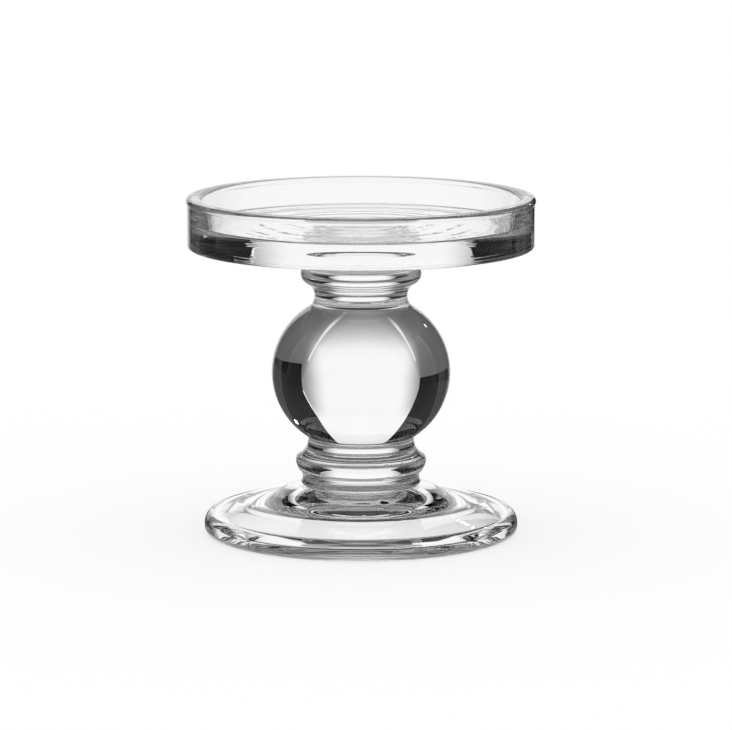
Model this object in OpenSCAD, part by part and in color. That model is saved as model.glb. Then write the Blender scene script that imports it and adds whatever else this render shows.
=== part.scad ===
// Clear pressed-glass holder for one pillar candle: a shallow walled dish on a
// ball stem, with a turned collar above and below the ball, on a round foot that
// is hollowed underneath.
// Every piece is a body of revolution about the Z axis. The sections are drawn
// in the half plane X = radius, Y = height, and follow the glass as it stands:
// straight runs, round beads, and coves that meet them at a tangent. Each piece
// rests on a flat round seat of the piece below, where the hot glass was joined.

/* [Candle dish] */
// Diameter over the rim bead
dish_d = 95; // [80:0.5:120]
// Height from the flat underside to the top of the rim
dish_h = 13.8; // [12:0.2:20]
// Thickness of the floor that the candle stands on
dish_floor_t = 6.4; // [4:0.1:8]
// Thickness of the rim, from the outside of its bead to the inside of the wall
dish_rim_t = 4.3; // [3.5:0.1:6]
// How much thicker the wall is at the floor, for mould draft
dish_draft = 0.6; // [0.2:0.1:1.5]
// Radius of the rounded lower edge
dish_edge_r = 0.9; // [0.6:0.1:3.5]
// Radius between the floor and the inside of the wall
dish_fillet_r = 1; // [0.4:0.1:2]
// Radius of the bead round the outside of the rim
rim_bead_r = 1.1; // [0.6:0.1:1.8]
// How far the rim bead stands out from the wall
rim_bead_out = 0.3; // [0.1:0.05:0.5]
// Radius of the rounded inner edge of the rim
rim_inner_r = 1.4; // [0.5:0.1:1.8]

/* [Upper collar] */
// Diameter over the round bead of the collar
ucollar_bead_d = 33; // [30:0.2:38]
// Radius of that bead
ucollar_bead_r = 2.9; // [2:0.1:4]
// Depth of the narrow neck above the ball, in from the bead
ucollar_neck_depth = 3.8; // [2.5:0.1:5]
// Radius of the cove from the neck out to the ball
ucollar_ball_cove_r = 3.8; // [2:0.1:6]
// Radius of the cove from the neck out to the bead
ucollar_bead_cove_r = 4; // [2:0.1:6]
// Depth of the throat between the bead and the dish, in from the bead
ucollar_throat_depth = 3.5; // [2:0.1:5]
// Radius of the cove from the bead in to the throat
ucollar_throat_cove_r = 2.4; // [1.5:0.1:4]
// Radius of the flare from the throat out to the underside of the dish
ucollar_flare_r = 2.2; // [1:0.1:3]

/* [Ball] */
// Diameter of the ball at its widest
ball_d = 48.8; // [42:0.2:58]
// How far the centre of its round side stands off the axis, so it is slightly flattened
ball_side_x = 3.6; // [0:0.1:6]

/* [Lower collar] */
// Diameter over the shoulder
lcollar_shoulder_d = 35.6; // [32:0.2:40]
// Depth of the neck under the ball, in from the shoulder
lcollar_neck_depth = 3.35; // [2.5:0.05:5]
// Radius of the fillet from the neck out to the ball
lcollar_ball_fillet_r = 1; // [0.5:0.1:3]
// Radius of the cove from the neck down to the shoulder
lcollar_cove_r = 5.4; // [4:0.1:8]
// Radius of the shoulder's edge
lcollar_shoulder_r = 1.1; // [0.5:0.1:2]
// Radius of the barrel-shaped side below the shoulder
lcollar_barrel_r = 5; // [4:0.1:7]
// Depth of the waist below the barrel, in from the shoulder
lcollar_waist_depth = 1.95; // [1.5:0.05:3]
// Radius of the cove from the barrel in to the waist
lcollar_waist_cove_r = 2.6; // [1.5:0.1:4]
// How far the small lip at the bottom stands out from the waist
lcollar_lip_out = 0.5; // [0.3:0.05:0.8]
// Radius of the lip
lcollar_lip_r = 0.55; // [0.4:0.05:0.8]
// Radius of the cove from the waist out to the lip
lcollar_lip_cove_r = 1; // [0.6:0.1:2]
// How far the short plinth under the lip stands in from the waist
lcollar_plinth_in = 0.45; // [0.2:0.05:1]
// Height of the plinth that shows under the lip
lcollar_plinth_h = 0.45; // [0.2:0.05:1.5]

/* [Foot] */
// Diameter over the rim of the foot
foot_d = 85.7; // [74:0.5:110]
// Height of the foot, from the table to its flat seat for the lower collar
foot_h = 13.1; // [12:0.1:18]
// Radius of the rim's round nose
foot_nose_r = 3.4; // [3:0.1:4.2]
// Height of the nose's centre, where the foot is widest
foot_nose_h = 2.8; // [2.5:0.1:3]
// Radius of the rim's lower edge
foot_edge_r = 1.8; // [0.8:0.1:2.2]
// Diameter of the crease, where the slope from the nose ends
foot_crease_d = 67.8; // [60:0.2:70]
// Height of the crease
foot_crease_h = 8; // [7.4:0.1:8.6]
// Radius of the round shoulder under the collar; a cove leads from it to the crease
foot_shoulder_r = 13.5; // [8:0.5:16]
// Diameter of the hollow underneath, at the table
foot_hollow_d = 78; // [70:0.2:78.4]
// Height of the hollow at its middle
foot_hollow_h = 6.3; // [2:0.1:6.8]
// Radius of the hollow's arched side
foot_hollow_side_r = 60; // [30:1:80]

/* [Hidden] */
$fn = 180;

// Height from the centre of a round bead to the neck that a cove leads to, when
// the cove touches the bead and the neck's side at a tangent. bead_x is how far
// the bead's centre lies from the axis.
function cove_rise(bead_x, bead_r, neck_x, cove_r) =
    sqrt(pow(bead_r + cove_r, 2) - pow(neck_x + cove_r - bead_x, 2));

// The point on a line from one place to another, at a distance from the first.
function toward(from, to, distance) =
    from + (to - from) * distance / norm(to - from);

// Foot
foot_r = foot_d / 2;
shoulder_r = lcollar_shoulder_d / 2;
waist_r = shoulder_r - lcollar_waist_depth;
seat_r = waist_r - lcollar_plinth_in;
nose_c = [foot_r - foot_nose_r, foot_nose_h];
crease = [foot_crease_d / 2, foot_crease_h];
// The slope leaves the nose at a tangent and ends at the crease.
slope_turn = atan2(crease[1] - nose_c[1], crease[0] - nose_c[0]) - acos(foot_nose_r / norm(crease - nose_c));
slope_top = nose_c + foot_nose_r * [cos(slope_turn), sin(slope_turn)];
// The shoulder is level at the seat's edge, and the cove at the crease. They meet at a tangent.
foot_rise = foot_h - foot_crease_h;
foot_cove_r = (pow(crease[0] - seat_r, 2) + pow(foot_rise, 2)) / (2 * foot_rise) - foot_shoulder_r;
foot_shoulder_c = [seat_r, foot_h - foot_shoulder_r];
foot_cove_c = crease + [0, foot_cove_r];
shoulder_end = toward(foot_shoulder_c, foot_cove_c, foot_shoulder_r);
// The hollow's side leaves its level roof at a tangent and runs down to the table.
hollow_c = [
    foot_hollow_d / 2 - sqrt(pow(foot_hollow_side_r, 2) - pow(foot_hollow_side_r - foot_hollow_h, 2)),
    foot_hollow_h - foot_hollow_side_r,
];

// Lower collar, from the foot up. A name that ends in _c is a centre in the section.
lip_c = [waist_r + lcollar_lip_out - lcollar_lip_r, foot_h + lcollar_plinth_h + lcollar_lip_r];
waist_z = lip_c[1] + cove_rise(lip_c[0], lcollar_lip_r, waist_r, lcollar_lip_cove_r);
lip_cove_c = [waist_r + lcollar_lip_cove_r, waist_z];
waist_cove_c = [waist_r + lcollar_waist_cove_r, waist_z];
barrel_x = shoulder_r - lcollar_barrel_r;
shoulder_z = waist_z + cove_rise(barrel_x, lcollar_barrel_r, waist_r, lcollar_waist_cove_r);
barrel_c = [barrel_x, shoulder_z];
shoulder_c = [shoulder_r - lcollar_shoulder_r, shoulder_z];
lneck_r = shoulder_r - lcollar_neck_depth;
lneck_z = shoulder_z + cove_rise(shoulder_c[0], lcollar_shoulder_r, lneck_r, lcollar_cove_r);
lneck_cove_c = [lneck_r + lcollar_cove_r, lneck_z];
ball_fillet_c = [lneck_r + lcollar_ball_fillet_r, lneck_z];

// Ball, on the lower collar
ball_side_r = ball_d / 2 - ball_side_x;
ball_c = [ball_side_x, lneck_z + cove_rise(ball_side_x, ball_side_r, lneck_r, lcollar_ball_fillet_r)];
ball_bottom = toward(ball_c, ball_fillet_c, ball_side_r);

// Upper collar, on the ball
ubead_r = ucollar_bead_d / 2;
uneck_r = ubead_r - ucollar_neck_depth;
uneck_z = ball_c[1] + cove_rise(ball_side_x, ball_side_r, uneck_r, ucollar_ball_cove_r);
ball_cove_c = [uneck_r + ucollar_ball_cove_r, uneck_z];
ball_top = toward(ball_c, ball_cove_c, ball_side_r);
ubead_x = ubead_r - ucollar_bead_r;
ubead_c = [ubead_x, uneck_z + cove_rise(ubead_x, ucollar_bead_r, uneck_r, ucollar_bead_cove_r)];
ubead_cove_c = [uneck_r + ucollar_bead_cove_r, uneck_z];
throat_r = ubead_r - ucollar_throat_depth;
throat_z = ubead_c[1] + cove_rise(ubead_x, ucollar_bead_r, throat_r, ucollar_throat_cove_r);
throat_cove_c = [throat_r + ucollar_throat_cove_r, throat_z];
flare_c = [throat_r + ucollar_flare_r, throat_z];

// Dish, on the upper collar
dish_z = throat_z + ucollar_flare_r;
dish_r = dish_d / 2;
dish_wall_r = dish_r - rim_bead_out;
mouth_r = dish_r - dish_rim_t;
floor_r = mouth_r - dish_draft;

// A bead of the section, without what would lie beyond the axis.
module bead(centre, r) {
    intersection() {
        translate(centre) circle(r);
        translate([0, centre[1] - r]) square([centre[0] + r, 2 * r]);
    }
}

// The upper half of a disc, and the lower half, for a cove that leaves its neck
// upwards or downwards.
module upper_half(centre, r) {
    intersection() {
        translate(centre) circle(r);
        translate([centre[0] - r, centre[1]]) square([2 * r, r]);
    }
}

module lower_half(centre, r) {
    intersection() {
        translate(centre) circle(r);
        translate(centre - [r, r]) square([2 * r, r]);
    }
}

// Foot: a round nose, a slope up to the crease, a cove and a shoulder up to the
// seat, and a hollow underneath, so that it stands on a ring
module foot() {
    color("aliceblue")
    rotate_extrude()
    difference() {
        union() {
            square([foot_r - foot_edge_r, foot_edge_r]);
            bead([foot_r - foot_edge_r, foot_edge_r], foot_edge_r);
            translate([0, foot_edge_r]) square([foot_r, foot_nose_h - foot_edge_r]);
            upper_half(nose_c, foot_nose_r);
            difference() {
                polygon([
                    [shoulder_end[0], foot_nose_h],
                    nose_c,
                    slope_top,
                    crease,
                    foot_cove_c,
                    shoulder_end,
                ]);
                lower_half(foot_cove_c, foot_cove_r);
            }
            // Shoulder, only as far out as it meets the cove
            intersection() {
                bead(foot_shoulder_c, foot_shoulder_r);
                translate([0, foot_nose_h]) square([shoulder_end[0], foot_h - foot_nose_h]);
            }
            translate([0, foot_nose_h]) square([seat_r, foot_h - foot_nose_h]);
        }
        // Hollow
        square([hollow_c[0], foot_hollow_h]);
        intersection() {
            translate(hollow_c) circle(foot_hollow_side_r);
            square([foot_hollow_d / 2, foot_hollow_h]);
        }
    }
}

// Turned collar under the ball: plinth, lip, waist, barrel, shoulder, cove and neck
module lower_collar() {
    color("aliceblue")
    rotate_extrude() {
        difference() {
            polygon([
                [0, foot_h],
                [seat_r, foot_h],
                [seat_r, lip_c[1]],
                lip_c,
                lip_cove_c,
                waist_cove_c,
                barrel_c,
                shoulder_c,
                lneck_cove_c,
                ball_fillet_c,
                ball_bottom,
                [0, ball_bottom[1]],
            ]);
            lower_half(lip_cove_c, lcollar_lip_cove_r);
            upper_half(waist_cove_c, lcollar_waist_cove_r);
            lower_half(lneck_cove_c, lcollar_cove_r);
            upper_half(ball_fillet_c, lcollar_ball_fillet_r);
        }
        bead(lip_c, lcollar_lip_r);
        lower_half(barrel_c, lcollar_barrel_r);
        bead(shoulder_c, lcollar_shoulder_r);
    }
}

// Solid ball, with a small flat seat above and below
module ball() {
    color("aliceblue")
    rotate_extrude()
    intersection() {
        bead(ball_c, ball_side_r);
        translate([0, ball_bottom[1]]) square([ball_d / 2, ball_top[1] - ball_bottom[1]]);
    }
}

// Turned collar over the ball: neck, round bead, throat and flare
module upper_collar() {
    color("aliceblue")
    rotate_extrude() {
        difference() {
            polygon([
                [0, ball_top[1]],
                ball_top,
                ball_cove_c,
                ubead_cove_c,
                ubead_c,
                throat_cove_c,
                flare_c,
                [flare_c[0], dish_z],
                [0, dish_z],
            ]);
            lower_half(ball_cove_c, ucollar_ball_cove_r);
            upper_half(ubead_cove_c, ucollar_bead_cove_r);
            lower_half(throat_cove_c, ucollar_throat_cove_r);
            upper_half(flare_c, ucollar_flare_r);
        }
        bead(ubead_c, ucollar_bead_r);
    }
}

// Walled dish that holds the candle: thick floor, drafted wall and beaded rim
module candle_dish() {
    color("aliceblue")
    translate([0, 0, dish_z])
    rotate_extrude() {
        difference() {
            union() {
                square([dish_wall_r - dish_edge_r, dish_edge_r]);
                bead([dish_wall_r - dish_edge_r, dish_edge_r], dish_edge_r);
                translate([0, dish_edge_r])
                    square([dish_wall_r, dish_h - rim_bead_r - dish_edge_r]);
                bead([dish_r - rim_bead_r, dish_h - rim_bead_r], rim_bead_r);
                square([dish_r - rim_bead_r, dish_h]);
            }
            // Room for the candle
            translate([0, dish_floor_t]) square([floor_r - dish_fillet_r, dish_h - dish_floor_t]);
            bead([floor_r - dish_fillet_r, dish_floor_t + dish_fillet_r], dish_fillet_r);
            polygon([
                [0, dish_floor_t + dish_fillet_r],
                [floor_r, dish_floor_t + dish_fillet_r],
                [mouth_r, dish_h - rim_inner_r],
                [mouth_r + rim_inner_r, dish_h - rim_inner_r],
                [mouth_r + rim_inner_r, dish_h],
                [0, dish_h],
            ]);
        }
        bead([mouth_r + rim_inner_r, dish_h - rim_inner_r], rim_inner_r);
    }
}

foot();
lower_collar();
ball();
upper_collar();
candle_dish();
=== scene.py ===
import math

import bpy
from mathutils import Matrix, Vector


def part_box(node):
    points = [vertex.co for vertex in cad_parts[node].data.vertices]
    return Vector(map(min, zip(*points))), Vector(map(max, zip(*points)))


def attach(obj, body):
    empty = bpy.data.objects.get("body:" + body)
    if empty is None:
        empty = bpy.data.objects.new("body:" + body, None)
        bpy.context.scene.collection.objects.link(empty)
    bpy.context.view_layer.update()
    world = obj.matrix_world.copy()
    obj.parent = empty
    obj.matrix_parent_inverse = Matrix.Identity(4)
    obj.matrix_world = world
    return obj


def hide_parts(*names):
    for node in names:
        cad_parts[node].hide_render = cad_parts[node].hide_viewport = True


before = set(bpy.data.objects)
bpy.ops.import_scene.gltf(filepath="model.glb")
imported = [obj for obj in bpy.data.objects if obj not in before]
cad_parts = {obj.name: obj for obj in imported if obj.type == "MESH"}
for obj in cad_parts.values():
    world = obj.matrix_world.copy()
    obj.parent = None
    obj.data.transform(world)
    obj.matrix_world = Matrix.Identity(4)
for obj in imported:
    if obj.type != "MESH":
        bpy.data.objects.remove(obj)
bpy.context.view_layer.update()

# Foot
# A disc of clear pressed glass with a round nose, a slope up to a soft crease, and a cove and shoulder
# up to the collar. The mould's base hollows it underneath, so it stands on a ring. It is fire polished.
mm = 0.001
foot_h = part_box("foot")[1][2]
foot_r = 42.85 * mm
seat_r = 15.4 * mm
nose_r = 3.4 * mm
nose_c = (foot_r - nose_r, 2.8 * mm)
foot_edge_r = 1.8 * mm
crease = (67.8 / 2 * mm, 8.0 * mm)
foot_shoulder_r = 13.5 * mm
hollow_r = 78.0 / 2 * mm
hollow_h = 6.3 * mm
hollow_side_r = 60 * mm
turn_steps = 360
arc_step = math.radians(4)
soft_below = math.radians(25)
weld = 0.001 * mm


def arc(centre, start, end):
    """Points of a section from start to end, the short way round a centre."""
    a = math.atan2(start[1] - centre[1], start[0] - centre[0])
    b = math.atan2(end[1] - centre[1], end[0] - centre[0])
    sweep = (b - a + math.pi) % (2 * math.pi) - math.pi
    r = math.dist(centre, start)
    count = max(6, math.ceil(abs(sweep) / arc_step))
    return [
        (centre[0] + r * math.cos(a + sweep * i / count), centre[1] + r * math.sin(a + sweep * i / count))
        for i in range(count + 1)
    ]


def toward(start, end, distance):
    """The point on the line from start to end, at a distance from start."""
    share = distance / math.dist(start, end)
    return (start[0] + (end[0] - start[0]) * share, start[1] + (end[1] - start[1]) * share)


def turned(name, section):
    """A closed solid, turned about the vertical axis from its section of (radius, height)."""
    bpy.ops.object.select_all(action="DESELECT")
    bpy.ops.mesh.primitive_plane_add(size=mm, location=(section[0][0], 0, section[0][1]))
    piece = bpy.context.object
    piece.name = name
    bpy.ops.object.transform_apply(location=True, rotation=False, scale=False)
    bpy.ops.object.mode_set(mode="EDIT")
    bpy.ops.mesh.merge(type="CENTER")
    here = section[0]
    for there in section[1:]:
        step = (there[0] - here[0], 0, there[1] - here[1])
        if max(map(abs, step)) > weld / 10:
            bpy.ops.mesh.extrude_vertices_move(TRANSFORM_OT_translate={"value": step})
            here = there
    bpy.ops.object.mode_set(mode="OBJECT")
    bpy.ops.object.modifier_add(type="SCREW")
    lathe = piece.modifiers[-1]
    lathe.steps = lathe.render_steps = turn_steps
    lathe.use_merge_vertices = True
    lathe.merge_threshold = weld
    bpy.ops.object.modifier_apply(modifier=lathe.name)
    bpy.ops.object.mode_set(mode="EDIT")
    bpy.ops.mesh.select_all(action="SELECT")
    bpy.ops.mesh.remove_doubles(threshold=weld)
    bpy.ops.mesh.normals_make_consistent(inside=False)
    bpy.ops.object.mode_set(mode="OBJECT")
    bpy.ops.object.shade_smooth_by_angle(angle=soft_below)
    bpy.ops.object.modifier_add(type="WEIGHTED_NORMAL")
    polish = piece.modifiers[-1]
    polish.keep_sharp = True
    polish.weight = 100
    bpy.ops.object.modifier_apply(modifier=polish.name)
    return piece


# Pressed and fire-polished glass is never quite flat. This finish, which every piece uses, gives the
# height in mm of its ripple, of the streaks drawn down it, of the rings that the plunger leaves, of the
# mould's seam and of small blisters, and the roughness of a thin film on it.
finish = bpy.data.node_groups.new("pressed_glass_finish", "ShaderNodeTree")
for word, value in (
    ("Ripple Size", 9.0),
    ("Ripple Height", 0.02),
    ("Streak Height", 0.0),
    ("Ring Height", 0.0),
    ("Seam Height", 0.0),
    ("Blister Height", 0.0),
    ("Haze", 0.0),
):
    socket = finish.interface.new_socket(name=word, in_out="INPUT", socket_type="NodeSocketFloat")
    socket.default_value = value
for word in ("Height", "Roughness"):
    finish.interface.new_socket(name=word, in_out="OUTPUT", socket_type="NodeSocketFloat")
finish_in = finish.nodes.new("NodeGroupInput")
finish_out = finish.nodes.new("NodeGroupOutput")
glass_face = finish.nodes.new("ShaderNodeTexCoord")
surface = glass_face.outputs["Object"]
streaks_per_m, streak_stretch = 420, 0.12
rings_per_m = 240
seam_turn = math.radians(21)
seam_half = 1.1 * mm
blisters_per_m, blister_r = 95, 0.07
peel_per_m, peel_height = 600, 0.0003
film_per_m = 60


def worked(tree, kind, a, b=None, c=None):
    """A Math node."""
    node = tree.nodes.new("ShaderNodeMath")
    node.operation = kind
    for socket, value in zip(node.inputs, (a, b, c)):
        if isinstance(value, (int, float)):
            socket.default_value = value
        elif value is not None:
            tree.links.new(value, socket)
    return node.outputs[0]


def reach(tree, a, b):
    """How far off a place lies, from how far it lies in each of two directions."""
    return worked(tree, "SQRT", worked(tree, "MULTIPLY_ADD", a, a, worked(tree, "MULTIPLY", b, b)))


def noise(place, scale, detail):
    """A Noise node of the finish, from -0.5 to 0.5."""
    node = finish.nodes.new("ShaderNodeTexNoise")
    node.inputs["Detail"].default_value = detail
    finish.links.new(place, node.inputs["Vector"])
    if isinstance(scale, (int, float)):
        node.inputs["Scale"].default_value = scale
    else:
        finish.links.new(scale, node.inputs["Scale"])
    return worked(finish, "SUBTRACT", node.outputs["Fac"], 0.5)


ripple = worked(
    finish,
    "MULTIPLY",
    noise(surface, worked(finish, "DIVIDE", 1000.0, finish_in.outputs["Ripple Size"]), 1.0),
    finish_in.outputs["Ripple Height"],
)
drawn = finish.nodes.new("ShaderNodeMapping")
drawn.inputs["Scale"].default_value = (1, 1, streak_stretch)
finish.links.new(surface, drawn.inputs["Vector"])
streaks = worked(
    finish, "MULTIPLY", noise(drawn.outputs[0], streaks_per_m, 1.5), finish_in.outputs["Streak Height"]
)
# the plunger shapes the faces that look up or in to the axis, and its rings are not quite even
off_axis = finish.nodes.new("ShaderNodeSeparateXYZ")
finish.links.new(surface, off_axis.inputs[0])
x, y, z = off_axis.outputs
faces = finish.nodes.new("ShaderNodeSeparateXYZ")
finish.links.new(glass_face.outputs["Normal"], faces.inputs[0])
face_x, face_y, face_z = faces.outputs
ring_r = reach(finish, x, y)
face_out = worked(finish, "MULTIPLY_ADD", x, face_x, worked(finish, "MULTIPLY", y, face_y))
face_in = worked(finish, "DIVIDE", worked(finish, "MULTIPLY", face_out, -1), ring_r)
plunged = worked(finish, "MAXIMUM", worked(finish, "MAXIMUM", face_z, face_in), 0)
uneven = finish.nodes.new("ShaderNodeTexNoise")
uneven.noise_dimensions = "1D"
uneven.inputs["Scale"].default_value = rings_per_m
uneven.inputs["Detail"].default_value = 1
finish.links.new(worked(finish, "ADD", ring_r, z), uneven.inputs["W"])
rings = worked(
    finish,
    "MULTIPLY",
    worked(finish, "MULTIPLY", worked(finish, "SUBTRACT", uneven.outputs["Fac"], 0.5), plunged),
    finish_in.outputs["Ring Height"],
)
# the seam stands where the two halves of the mould meet, a little round from the front
halves = finish.nodes.new("ShaderNodeMapping")
halves.inputs["Rotation"].default_value = (0, 0, -seam_turn)
finish.links.new(surface, halves.inputs["Vector"])
halves_split = finish.nodes.new("ShaderNodeSeparateXYZ")
finish.links.new(halves.outputs[0], halves_split.inputs[0])
off_seam = worked(finish, "DIVIDE", halves_split.outputs["X"], seam_half)
seam = worked(
    finish,
    "MULTIPLY",
    worked(finish, "EXPONENT", worked(finish, "MULTIPLY", worked(finish, "POWER", off_seam, 2), -1)),
    finish_in.outputs["Seam Height"],
)
blister = finish.nodes.new("ShaderNodeTexVoronoi")
blister.inputs["Scale"].default_value = blisters_per_m
finish.links.new(surface, blister.inputs["Vector"])
blister_shape = finish.nodes.new("ShaderNodeMapRange")
blister_shape.interpolation_type = "SMOOTHSTEP"
blister_shape.inputs["From Max"].default_value = blister_r
blister_shape.inputs["To Min"].default_value = 1
blister_shape.inputs["To Max"].default_value = 0
finish.links.new(blister.outputs["Distance"], blister_shape.inputs["Value"])
blisters = worked(finish, "MULTIPLY", blister_shape.outputs[0], finish_in.outputs["Blister Height"])
peel = worked(finish, "MULTIPLY", noise(surface, peel_per_m, 1), peel_height)
height = ripple
for part in (streaks, rings, seam, blisters, peel):
    height = worked(finish, "ADD", height, part)
finish.links.new(height, finish_out.inputs["Height"])
film = worked(finish, "MAXIMUM", worked(finish, "MULTIPLY", noise(surface, film_per_m, 3), 2), 0)
finish.links.new(worked(finish, "MULTIPLY", film, finish_in.outputs["Haze"]), finish_out.inputs["Roughness"])


def clear_glass(name, **amounts):
    """Colourless soda-lime glass with the pressed finish, in the amounts that this piece shows."""
    made = bpy.data.materials.new(name)
    made.use_nodes = True
    nodes, links = made.node_tree.nodes, made.node_tree.links
    shader = nodes["Principled BSDF"]
    shader.inputs["Base Color"].default_value = (0.995, 0.998, 1, 1)
    shader.inputs["IOR"].default_value = 1.52
    shader.inputs["Transmission Weight"].default_value = 1
    pressed = nodes.new("ShaderNodeGroup")
    pressed.node_tree = finish
    for word, amount in amounts.items():
        pressed.inputs[word.replace("_", " ").title()].default_value = amount
    relief = nodes.new("ShaderNodeBump")
    relief.inputs["Strength"].default_value = 1
    relief.inputs["Distance"].default_value = mm
    links.new(pressed.outputs["Height"], relief.inputs["Height"])
    links.new(relief.outputs["Normal"], shader.inputs["Normal"])
    links.new(pressed.outputs["Roughness"], shader.inputs["Roughness"])
    return made


# Where two pieces were joined hot the glass is one body, so their seats show nothing.
fused_joint = bpy.data.materials.new("fused_joint")
fused_joint.use_nodes = True
fused_joint.node_tree.nodes["Principled BSDF"].inputs["Alpha"].default_value = 0


def fused_at(piece, out_to, *heights):
    """Gives the seats at these heights, as far out as they reach, the finish of a hot joint."""
    piece.data.materials.append(fused_joint)
    for face in piece.data.polygons:
        near = math.hypot(face.center.x, face.center.y) < out_to
        if near and any(abs(face.center.z - height) < weld for height in heights):
            face.material_index = 1


hollow_x = hollow_r - math.sqrt(hollow_side_r**2 - (hollow_side_r - hollow_h) ** 2)
hollow_c = (hollow_x, hollow_h - hollow_side_r)
slope_turn = math.atan2(crease[1] - nose_c[1], crease[0] - nose_c[0])
slope_turn -= math.acos(nose_r / math.dist(nose_c, crease))
slope_top = (nose_c[0] + nose_r * math.cos(slope_turn), nose_c[1] + nose_r * math.sin(slope_turn))
foot_rise = foot_h - crease[1]
foot_cove_r = ((crease[0] - seat_r) ** 2 + foot_rise**2) / (2 * foot_rise) - foot_shoulder_r
foot_cove_c = (crease[0], crease[1] + foot_cove_r)
foot_shoulder_c = (seat_r, foot_h - foot_shoulder_r)
shoulder_end = toward(foot_shoulder_c, foot_cove_c, foot_shoulder_r)

foot_section = [(0, hollow_h)]
foot_section += arc(hollow_c, (hollow_x, hollow_h), (hollow_r, 0))
foot_section += arc((foot_r - foot_edge_r, foot_edge_r), (foot_r - foot_edge_r, 0), (foot_r, foot_edge_r))
foot_section += arc(nose_c, (foot_r, nose_c[1]), slope_top)
foot_section += arc(foot_cove_c, crease, shoulder_end)
foot_section += arc(foot_shoulder_c, shoulder_end, (seat_r, foot_h))
foot_section += [(0, foot_h)]
foot = turned("foot_dressed", foot_section)
foot.data.materials.append(
    clear_glass(
        "foot_glass",
        ripple_size=12,
        ripple_height=0.04,
        seam_height=0.02,
        blister_height=0.02,
        haze=0.01,
    )
)
fused_at(foot, seat_r, foot_h)
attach(foot, "root")
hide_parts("foot")

# Lower collar
# A short turned stem of glass between the foot and the ball: plinth, lip, waist, barrel, shoulder,
# cove and neck. It is pressed in a two-part mould, whose seam shows, and fused to the foot and the ball.
shoulder_r = 17.8 * mm
lneck_r = shoulder_r - 3.35 * mm
ball_fillet_r = 1 * mm
lcove_r = 5.4 * mm
shoulder_edge_r = 1.1 * mm
barrel_r = 5 * mm
waist_r = shoulder_r - 1.95 * mm
waist_cove_r = 2.6 * mm
lip_r = 0.55 * mm
lip_cove_r = 1 * mm
plinth_h = 0.45 * mm


def cove_rise(bead_x, bead_r, neck_x, cove_r):
    """Height between a bead's centre and the neck that a tangent cove leads to."""
    return math.sqrt((bead_r + cove_r) ** 2 - (neck_x + cove_r - bead_x) ** 2)


lip_c = (waist_r + 0.5 * mm - lip_r, foot_h + plinth_h + lip_r)
waist_z = lip_c[1] + cove_rise(lip_c[0], lip_r, waist_r, lip_cove_r)
lip_cove_c = (waist_r + lip_cove_r, waist_z)
waist_cove_c = (waist_r + waist_cove_r, waist_z)
barrel_x = shoulder_r - barrel_r
shoulder_z = waist_z + cove_rise(barrel_x, barrel_r, waist_r, waist_cove_r)
barrel_c = (barrel_x, shoulder_z)
shoulder_c = (shoulder_r - shoulder_edge_r, shoulder_z)
lneck_z = shoulder_z + cove_rise(shoulder_c[0], shoulder_edge_r, lneck_r, lcove_r)
lneck_cove_c = (lneck_r + lcove_r, lneck_z)
ball_fillet_c = (lneck_r + ball_fillet_r, lneck_z)
ball_r = 24.4 * mm
ball_side_x = 3.6 * mm
ball_side_r = ball_r - ball_side_x
ball_c = (ball_side_x, lneck_z + cove_rise(ball_side_x, ball_side_r, lneck_r, ball_fillet_r))
ball_bottom = toward(ball_c, ball_fillet_c, ball_side_r)

lower_section = [(0, foot_h), (seat_r, foot_h), (seat_r, lip_c[1] - lip_r)]
lower_section += arc(lip_c, (lip_c[0], lip_c[1] - lip_r), (lip_c[0] + lip_r, lip_c[1]))
lower_section += arc(lip_c, (lip_c[0] + lip_r, lip_c[1]), toward(lip_c, lip_cove_c, lip_r))
lower_section += arc(lip_cove_c, toward(lip_cove_c, lip_c, lip_cove_r), (waist_r, waist_z))
lower_section += arc(waist_cove_c, (waist_r, waist_z), toward(waist_cove_c, barrel_c, waist_cove_r))
lower_section += arc(barrel_c, toward(barrel_c, waist_cove_c, barrel_r), (shoulder_r, shoulder_z))
lower_section += arc(shoulder_c, (shoulder_r, shoulder_z), toward(shoulder_c, lneck_cove_c, shoulder_edge_r))
lower_section += arc(lneck_cove_c, toward(lneck_cove_c, shoulder_c, lcove_r), (lneck_r, lneck_z))
lower_section += arc(ball_fillet_c, (lneck_r, lneck_z), ball_bottom)
lower_section += [(0, ball_bottom[1])]
lower_collar = turned("lower_collar_dressed", lower_section)
lower_collar.data.materials.append(
    clear_glass(
        "lower_collar_glass",
        ripple_size=7,
        ripple_height=0.008,
        seam_height=0.06,
        blister_height=0.03,
    )
)
fused_at(lower_collar, seat_r, foot_h, ball_bottom[1])
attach(lower_collar, "root")
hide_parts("lower_collar")

# Ball
# The solid glass ball of the stem, slightly flattened from its own weight while hot. It acts as a
# lens and shows the studio upside down, with faint streaks where the hot glass was drawn.
ubead_r = 16.5 * mm
ubead_edge_r = 2.9 * mm
uneck_r = ubead_r - 3.8 * mm
ball_cove_r = 3.8 * mm
ubead_cove_r = 4 * mm
uneck_z = ball_c[1] + cove_rise(ball_side_x, ball_side_r, uneck_r, ball_cove_r)
ball_cove_c = (uneck_r + ball_cove_r, uneck_z)
ball_top = toward(ball_c, ball_cove_c, ball_side_r)

ball_section = [(0, ball_bottom[1])]
ball_section += arc(ball_c, ball_bottom, ball_top)
ball_section += [(0, ball_top[1])]
ball = turned("ball_dressed", ball_section)
ball.data.materials.append(
    clear_glass(
        "ball_glass",
        ripple_size=12,
        ripple_height=0.02,
        streak_height=0.0015,
        blister_height=0.01,
    )
)
fused_at(ball, seat_r, ball_bottom[1], ball_top[1])
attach(ball, "root")
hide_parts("ball")

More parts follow.
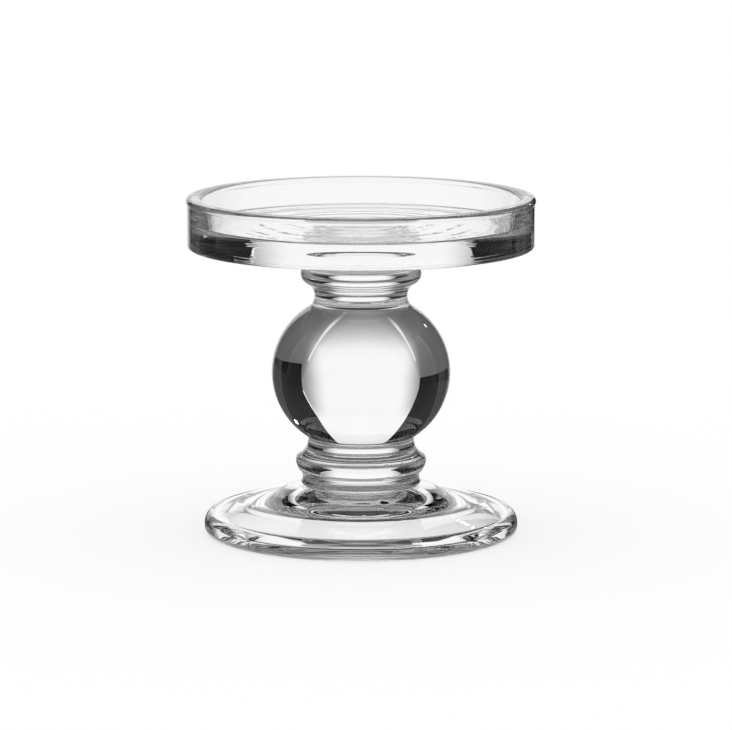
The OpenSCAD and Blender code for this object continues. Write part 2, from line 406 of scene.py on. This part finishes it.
# Upper collar
# The turned neck of glass between the ball and the dish, with one round bead. It is pressed in a
# two-part mould, fused to the ball below, and flares out to the underside of the dish above.
throat_r = ubead_r - 3.5 * mm
throat_cove_r = 2.4 * mm
flare_r = 2.2 * mm
ubead_x = ubead_r - ubead_edge_r
ubead_c = (ubead_x, uneck_z + cove_rise(ubead_x, ubead_edge_r, uneck_r, ubead_cove_r))
ubead_cove_c = (uneck_r + ubead_cove_r, uneck_z)
throat_z = ubead_c[1] + cove_rise(ubead_x, ubead_edge_r, throat_r, throat_cove_r)
throat_cove_c = (throat_r + throat_cove_r, throat_z)
flare_c = (throat_r + flare_r, throat_z)
dish_z = throat_z + flare_r
# the joint with the dish holds in its middle only, with a thin film of air left round it
held_r = 9.7 * mm
film_t = 0.03 * mm
film_x = flare_c[0] - math.sqrt(flare_r**2 - (flare_r - film_t) ** 2)

upper_section = [(0, ball_top[1])]
upper_section += arc(ball_cove_c, ball_top, (uneck_r, uneck_z))
upper_section += arc(ubead_cove_c, (uneck_r, uneck_z), toward(ubead_cove_c, ubead_c, ubead_cove_r))
upper_section += arc(ubead_c, toward(ubead_c, ubead_cove_c, ubead_edge_r), (ubead_r, ubead_c[1]))
upper_section += arc(ubead_c, (ubead_r, ubead_c[1]), toward(ubead_c, throat_cove_c, ubead_edge_r))
upper_section += arc(throat_cove_c, toward(throat_cove_c, ubead_c, throat_cove_r), (throat_r, throat_z))
upper_section += arc(flare_c, (throat_r, throat_z), (film_x, dish_z - film_t))
upper_section += [(held_r + film_t, dish_z - film_t), (held_r, dish_z), (0, dish_z)]
upper_collar = turned("upper_collar_dressed", upper_section)
upper_collar.data.materials.append(
    clear_glass(
        "upper_collar_glass",
        ripple_size=7,
        ripple_height=0.008,
        seam_height=0.06,
        blister_height=0.03,
    )
)
fused_at(upper_collar, seat_r, ball_top[1], dish_z)
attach(upper_collar, "root")
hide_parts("upper_collar")

# Candle dish
# The shallow walled dish that holds the candle, pressed with a plunger and fused to the collar. Its
# floor is thick, its wall has draft, and a small bead runs round the outside of its rim.
dish_r = 47.5 * mm
dish_h = 13.8 * mm
dish_floor_t = 6.4 * mm
dish_rim_t = 4.3 * mm
dish_draft = 0.6 * mm
dish_edge_r = 0.9 * mm
dish_fillet_r = 1 * mm
rim_bead_r = 1.1 * mm
rim_bead_out = 0.3 * mm
rim_inner_r = 1.4 * mm
wall_r = dish_r - rim_bead_out
mouth_r = dish_r - dish_rim_t
floor_r = mouth_r - dish_draft
rim_z = dish_z + dish_h
floor_z = dish_z + dish_floor_t

bead_c = (dish_r - rim_bead_r, rim_z - rim_bead_r)
bead_foot = (wall_r, bead_c[1] - math.sqrt(rim_bead_r**2 - (wall_r - bead_c[0]) ** 2))
edge_c = (wall_r - dish_edge_r, dish_z + dish_edge_r)
inner_c = (mouth_r + rim_inner_r, rim_z - rim_inner_r)
fillet_c = (floor_r - dish_fillet_r, floor_z + dish_fillet_r)
dish_section = [(0, dish_z), (held_r, dish_z)]
dish_section += arc(edge_c, (edge_c[0], dish_z), (wall_r, edge_c[1]))
dish_section += arc(bead_c, bead_foot, (dish_r, bead_c[1]))
dish_section += arc(bead_c, (dish_r, bead_c[1]), (bead_c[0], rim_z))
dish_section += arc(inner_c, (inner_c[0], rim_z), (mouth_r, inner_c[1]))
dish_section += arc(fillet_c, (floor_r, fillet_c[1]), (fillet_c[0], floor_z))
dish_section += [(0, floor_z)]
dish = turned("candle_dish_dressed", dish_section)
dish.data.materials.append(
    clear_glass(
        "dish_glass",
        ripple_size=14,
        ripple_height=0.03,
        streak_height=0.015,
        ring_height=0.13,
        blister_height=0.01,
        haze=0.02,
    )
)
fused_at(dish, held_r, dish_z)
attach(dish, "root")
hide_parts("candle_dish")

# Table
# A plain white table top under the holder. The glass sees it by a painted glow of light and shade:
# white toward the bright screen behind, painted shade beside the holder, a painted shadow under it, and
# painted highlights on the paper's cut edges.
bpy.ops.object.select_all(action="DESELECT")
bpy.ops.mesh.primitive_plane_add(size=12, location=(0, 0, -0.05 * mm))
table = bpy.context.object
table.name = "table_top"


def curve(tree, value, points):
    """Greys at places along a value, with an easy run from each to the next."""
    low, high = points[0][0], points[-1][0]
    ramp = tree.nodes.new("ShaderNodeValToRGB")
    ramp.color_ramp.interpolation = "EASE"
    stops = ramp.color_ramp.elements
    while len(stops) < len(points):
        stops.new(0.5)
    for stop, (place, grey) in zip(stops, points):
        stop.position = (place - low) / (high - low)
        stop.color = (grey, grey, grey, 1)
    share = worked(tree, "DIVIDE", worked(tree, "SUBTRACT", value, low), high - low)
    tree.links.new(share, ramp.inputs["Fac"])
    return ramp.outputs["Color"]


def round_about(tree):
    """Place to the right and behind, distance from the axis, degrees from straight behind, and height."""
    place = tree.nodes.new("ShaderNodeNewGeometry").outputs["Position"]
    split = tree.nodes.new("ShaderNodeSeparateXYZ")
    tree.links.new(place, split.inputs[0])
    x, y, z = split.outputs
    turn = worked(tree, "MULTIPLY", worked(tree, "ARCTAN2", x, y), 180 / math.pi)
    return x, y, reach(tree, x, y), turn, z


def blend(tree, share, a, b):
    """Value a where the share is 0 and b where it is 1."""
    return worked(
        tree,
        "ADD",
        worked(tree, "MULTIPLY", a, worked(tree, "SUBTRACT", 1, share)),
        worked(tree, "MULTIPLY", b, share),
    )


paper = bpy.data.materials.new("table_paper")
paper.use_nodes = True
paper_tree = paper.node_tree
paper_shader = paper_tree.nodes["Principled BSDF"]
paper_shader.inputs["Base Color"].default_value = (1, 1, 1, 1)
paper_shader.inputs["Roughness"].default_value = 1
paper_shader.inputs["Specular IOR Level"].default_value = 0
right, behind, far, turn, _ = round_about(paper_tree)
# painted light on the paper: dark near the holder and bright toward the screen, with painted shade away from
# it
painted_lit = curve(paper_tree, far, [(0, 0.05), (0.045, 0.07), (0.152, 0.98), (0.20, 1)])
screen_turn = -1.2
off_screen = worked(paper_tree, "ABSOLUTE", worked(paper_tree, "SUBTRACT", turn, screen_turn))
painted_shade_off_screen = curve(paper_tree, off_screen, [(0, 1), (15, 1), (30, 0.30), (180, 0.30)])
painted_lit = worked(paper_tree, "MINIMUM", painted_lit, painted_shade_off_screen)
# the painted light on the paper widens toward the screen, between two straight cut edges with a painted
# highlight along them
lit_right = -2.2 * mm
lit_half, lit_behind, lit_spread = 17 * mm, 83.5 * mm, 0.615
off_edge = worked(
    paper_tree,
    "SUBTRACT",
    worked(paper_tree, "ABSOLUTE", worked(paper_tree, "SUBTRACT", right, lit_right)),
    worked(paper_tree, "MULTIPLY_ADD", behind, lit_spread, lit_half - lit_spread * lit_behind),
)
straight = curve(paper_tree, off_edge, [(-0.040, 1), (-0.014, 0.95), (0.016, 0.14), (0.060, 0)])
cut_edge = worked(
    paper_tree,
    "MULTIPLY",
    curve(paper_tree, off_edge, [(-0.003, 0), (-0.0008, 1), (0.0008, 1), (0.003, 0)]),
    curve(paper_tree, behind, [(0.065, 0), (0.090, 0.85), (0.170, 0.95), (0.200, 0)]),
)
# painted shade on the paper beside and in front of the holder
off_back = worked(paper_tree, "ABSOLUTE", turn)
painted_shade_aside = curve(paper_tree, off_back, [(0, 0.13), (100, 0.13), (130, 0.36), (180, 0.36)])
painted_light_around = worked(paper_tree, "MAXIMUM", blend(paper_tree, straight, painted_shade_aside, painted_lit), cut_edge)
# under the foot a painted shadow darkens the rear half of the paper, with a round edge
dark_behind = 30 * mm
off_dark = reach(paper_tree, right, worked(paper_tree, "SUBTRACT", behind, dark_behind))
painted_shadow_beneath = curve(paper_tree, off_dark, [(0, 0.04), (0.0385, 0.04), (0.041, 0.95), (0.25, 0.95)])
out_of_foot = curve(paper_tree, far, [(0, 0), (0.043, 0), (0.047, 1), (0.25, 1)])
# glass and mirrors see the paper only by this glow of painted light and shade
paper_painted_glow = paper_tree.nodes.new("ShaderNodeEmission")
paper_tree.links.new(blend(paper_tree, out_of_foot, painted_shadow_beneath, painted_light_around), paper_painted_glow.inputs["Color"])
# the camera sees the paper mostly as plain white, and only a soft part of its shadow
white_share = 0.7
paper_path = paper_tree.nodes.new("ShaderNodeLightPath")
paper_white = paper_tree.nodes.new("ShaderNodeEmission")
paper_lift = paper_tree.nodes.new("ShaderNodeMixShader")
camera_lift = worked(paper_tree, "MULTIPLY", paper_path.outputs["Is Camera Ray"], white_share)
paper_tree.links.new(camera_lift, paper_lift.inputs["Fac"])
paper_tree.links.new(paper_shader.outputs[0], paper_lift.inputs[1])
paper_tree.links.new(paper_white.outputs[0], paper_lift.inputs[2])
paper_mix = paper_tree.nodes.new("ShaderNodeMixShader")
seen_in_glass = worked(
    paper_tree, "MAXIMUM", paper_path.outputs["Is Glossy Ray"], paper_path.outputs["Is Transmission Ray"]
)
paper_tree.links.new(seen_in_glass, paper_mix.inputs["Fac"])
paper_tree.links.new(paper_lift.outputs[0], paper_mix.inputs[1])
paper_tree.links.new(paper_painted_glow.outputs[0], paper_mix.inputs[2])
paper_tree.links.new(paper_mix.outputs[0], paper_tree.nodes["Material Output"].inputs["Surface"])
paper.cycles.emission_sampling = "NONE"
table.data.materials.append(paper)

# Screen, cards and lamp
# The glass stands in a ring of things that only glass and mirrors see: a bright screen behind, black
# cards left and right of it, a dark canopy above and a grey front, both painted shade, and one small lamp at
# the back right.


def ring_point(r, turn, z):
    """A place on a ring round the holder, turned clockwise from straight behind it."""
    return (r * math.sin(math.radians(turn)), r * math.cos(math.radians(turn)), z)


def stage_sheet(name, rows, material):
    """A sheet through rows of places. Only glass and mirrors see it, and it lights nothing else."""
    wide = len(rows[0])
    corners = [place for row in rows for place in row]
    faces = [
        (a + b, a + b + 1, a + b + 1 + wide, a + b + wide)
        for a in range(0, wide * (len(rows) - 1), wide)
        for b in range(wide - 1)
    ]
    mesh = bpy.data.meshes.new(name)
    mesh.from_pydata(corners, [], faces)
    sheet = bpy.data.objects.new(name, mesh)
    bpy.context.collection.objects.link(sheet)
    mesh.materials.append(material)
    sheet.visible_camera = sheet.visible_diffuse = sheet.visible_shadow = False


def stage_light(name, level):
    """A glow for the stage, at one level, and the Emission node that gives it."""
    made = bpy.data.materials.new(name)
    made.use_nodes = True
    glow = made.node_tree.nodes.new("ShaderNodeEmission")
    glow.inputs["Color"].default_value = (level, level, level, 1)
    made.node_tree.links.new(glow.outputs[0], made.node_tree.nodes["Material Output"].inputs["Surface"])
    made.cycles.emission_sampling = "NONE"
    return made, glow


studio_r, stage_top = 0.62, 1
ring_turns = range(-180, 181, 6)
canopy_level = 0.03
wall_light, wall_glow = stage_light("studio_wall", 1)
wall_tree = wall_light.node_tree
_, _, _, wall_turn, wall_height = round_about(wall_tree)
wall_off = worked(wall_tree, "ABSOLUTE", worked(wall_tree, "SUBTRACT", wall_turn, screen_turn))
# the wall glows white on the screen behind; elsewhere its glow is painted shade: soft beside the screen near
# the table, grey beside and in front, and darkening up into the canopy
wall_low = curve(
    wall_tree, wall_off, [(0, 1), (15, 1), (30, 0.30), (70, 0.30), (80, 0.14), (180, 0.14)]
)
wall_high = curve(
    wall_tree, wall_off, [(0, 1), (70, 1), (76, 0.36), (110, 0.36), (130, 0.5), (180, 0.5)]
)
wall_rise = curve(wall_tree, wall_height, [(0, 0), (0.13, 0), (0.27, 1), (stage_top, 1)])
wall_painted_fade_up = curve(wall_tree, wall_height, [(0, 0), (0.42, 0.02), (0.74, 1), (stage_top, 1)])
wall_painted_shade = blend(wall_tree, wall_rise, wall_low, wall_high)
wall_tree.links.new(blend(wall_tree, wall_painted_fade_up, wall_painted_shade, canopy_level), wall_glow.inputs["Color"])
stage_sheet(
    "studio_wall",
    [[ring_point(studio_r, turn, z) for turn in ring_turns] for z in (-mm, stage_top)],
    wall_light,
)
# the canopy is a near-black sheet of painted shade over the whole stage
stage_sheet(
    "canopy",
    [[ring_point(r, turn, stage_top) for turn in ring_turns] for r in (studio_r, mm)],
    stage_light("canopy_painted_shade", canopy_level)[0],
)
# the black cards carry a faint painted gleam along one upright band, and a cut edge of the right one has a
# painted highlight
card_black, card_glow = stage_light("card_black", 0)
card_tree = card_black.node_tree
card_off = worked(card_tree, "ABSOLUTE", round_about(card_tree)[3])
card_painted_gleam = curve(
    card_tree, card_off, [(0, 0), (47, 0), (50, 0.05), (54, 0.02), (57, 0.04), (60, 0), (180, 0)]
)
card_tree.links.new(card_painted_gleam, card_glow.inputs["Color"])
card_edge_painted_highlight, _ = stage_light("card_edge_painted_highlight", 0.9)
card_outer, card_steps = 72, 12
cut_lift, cut_turn = 2 * mm, 0.8
for word, side, card_r, edge in (
    ("left", -1, 0.60, ((29, 0), (28.5, 0.06), (14, 0.60), (6, stage_top))),
    ("right", 1, 0.22, ((27, 0), (26.4, 0.05), (20.5, 0.10), (11, 0.26), (4, 0.45))),
):
    stage_sheet(
        "card_" + word,
        [
            [
                ring_point(card_r, side * (inner + (card_outer - inner) * i / card_steps), z)
                for i in range(card_steps + 1)
            ]
            for inner, z in edge
        ],
        card_black,
    )
    # the right card's cut edge is a thin sheet of painted highlight
    if side > 0:
        stage_sheet(
            "card_cut_edge",
            [
                [ring_point(card_r - cut_lift, turn, z) for turn in (inner - cut_turn, inner)]
                for inner, z in edge[1:4]
            ],
            card_edge_painted_highlight,
        )
lamp_r, lamp_turn, lamp_z = 0.17, 43, 0.124
lamp_half_turn, lamp_half_h = 1.6, 5 * mm
stage_sheet(
    "lamp",
    [
        [ring_point(lamp_r, turn, z) for turn in (lamp_turn - lamp_half_turn, lamp_turn + lamp_half_turn)]
        for z in (lamp_z - lamp_half_h, lamp_z + lamp_half_h)
    ],
    stage_light("lamp_white", 8)[0],
)

# Light
# An even white studio all round, at a plain level, so that colours render as they are written.
scene = bpy.context.scene
world = bpy.data.worlds.new("studio")
scene.world = world
world.use_nodes = True
world.node_tree.nodes["Background"].inputs["Color"].default_value = (1, 1, 1, 1)
world.node_tree.nodes["Background"].inputs["Strength"].default_value = 1
scene.view_settings.view_transform = "Standard"
most_bounces = 32
scene.cycles.max_bounces = most_bounces
scene.cycles.glossy_bounces = most_bounces
scene.cycles.transmission_bounces = most_bounces
scene.cycles.transparent_max_bounces = most_bounces

# Camera
# The photograph was taken from a little above the rim, with a long lens, looking slightly down.
focal_px, frame_px, axis_px = 4532.4, 732, 361
camera_back, camera_up, camera_down_deg = 1.2198, 0.2468, 9.345
camera_data = bpy.data.cameras.new("camera")
camera = bpy.data.objects.new("camera", camera_data)
bpy.context.collection.objects.link(camera)
camera.location = (0, -camera_back, camera_up)
camera.rotation_euler = (math.radians(90 - camera_down_deg), 0, 0)
camera_data.sensor_width = 36
camera_data.lens = focal_px / frame_px * camera_data.sensor_width
camera_data.shift_x = (frame_px / 2 - axis_px) / frame_px
camera_data.clip_start, camera_data.clip_end = 0.01, 50
scene.camera = camera
